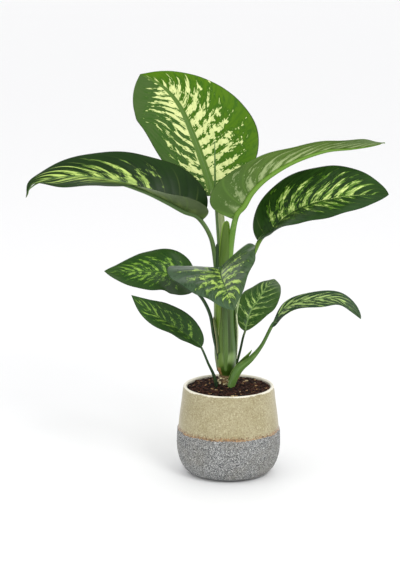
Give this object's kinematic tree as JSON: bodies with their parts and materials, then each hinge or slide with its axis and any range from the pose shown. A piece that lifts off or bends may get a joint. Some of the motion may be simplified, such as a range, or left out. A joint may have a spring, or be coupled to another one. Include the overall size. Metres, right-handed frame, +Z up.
{
  "type": "potted dieffenbachia",
  "caption": "Upright house plant with broad variegated leaves on sheathing stalks, rooted in bark soil in a rounded, half glazed stoneware pot.",
  "frame": {"origin": "middle of the pot's flat foot, on the surface it stands on", "axes": "+Z up along the pot's axis; -Y towards the plant's front, +X to the front's right"},
  "size_m": [0.578, 0.325, 0.6585],
  "materials": {
    "stoneware": "cream beige satin glaze above, bare speckled grey stoneware below, a toasted brown edge between them",
    "bark_soil": "rough, crumbly dark red-brown bark and peat with a few pale chips",
    "root": "matte off-white root",
    "stem_green": "smooth satin green stem with darker streaks, yellow-green bands and papery pale sheath edges",
    "stalk_green": "smooth satin green stalk, paler towards the top of the plant",
    "leaf_green": "satin deep green leaf with feathered cream and yellow-green patches along its veins, paler and matt below",
    "young_leaf": "smooth satin green, tightly rolled"
  },
  "bodies": {
    "root": {"pot": "stoneware", "soil": "bark_soil", "roots": "root", "main_stem": "stem_green", "new_leaf": "young_leaf", "stalk_top": "stalk_green", "stalk_left": "stalk_green", "stalk_right_upper": "stalk_green", "stalk_right_middle": "stalk_green", "stalk_left_middle": "stalk_green", "stalk_left_lower": "stalk_green", "stalk_front": "stalk_green", "stalk_right_small": "stalk_green", "stalk_right_lower": "stalk_green", "leaf_top": "leaf_green", "leaf_left": "leaf_green", "leaf_right_upper": "leaf_green", "leaf_right_middle": "leaf_green", "leaf_left_middle": "leaf_green", "leaf_left_lower": "leaf_green", "leaf_front": "leaf_green", "leaf_right_small": "leaf_green", "leaf_right_lower": "leaf_green"}
  },
  "joints": []
}
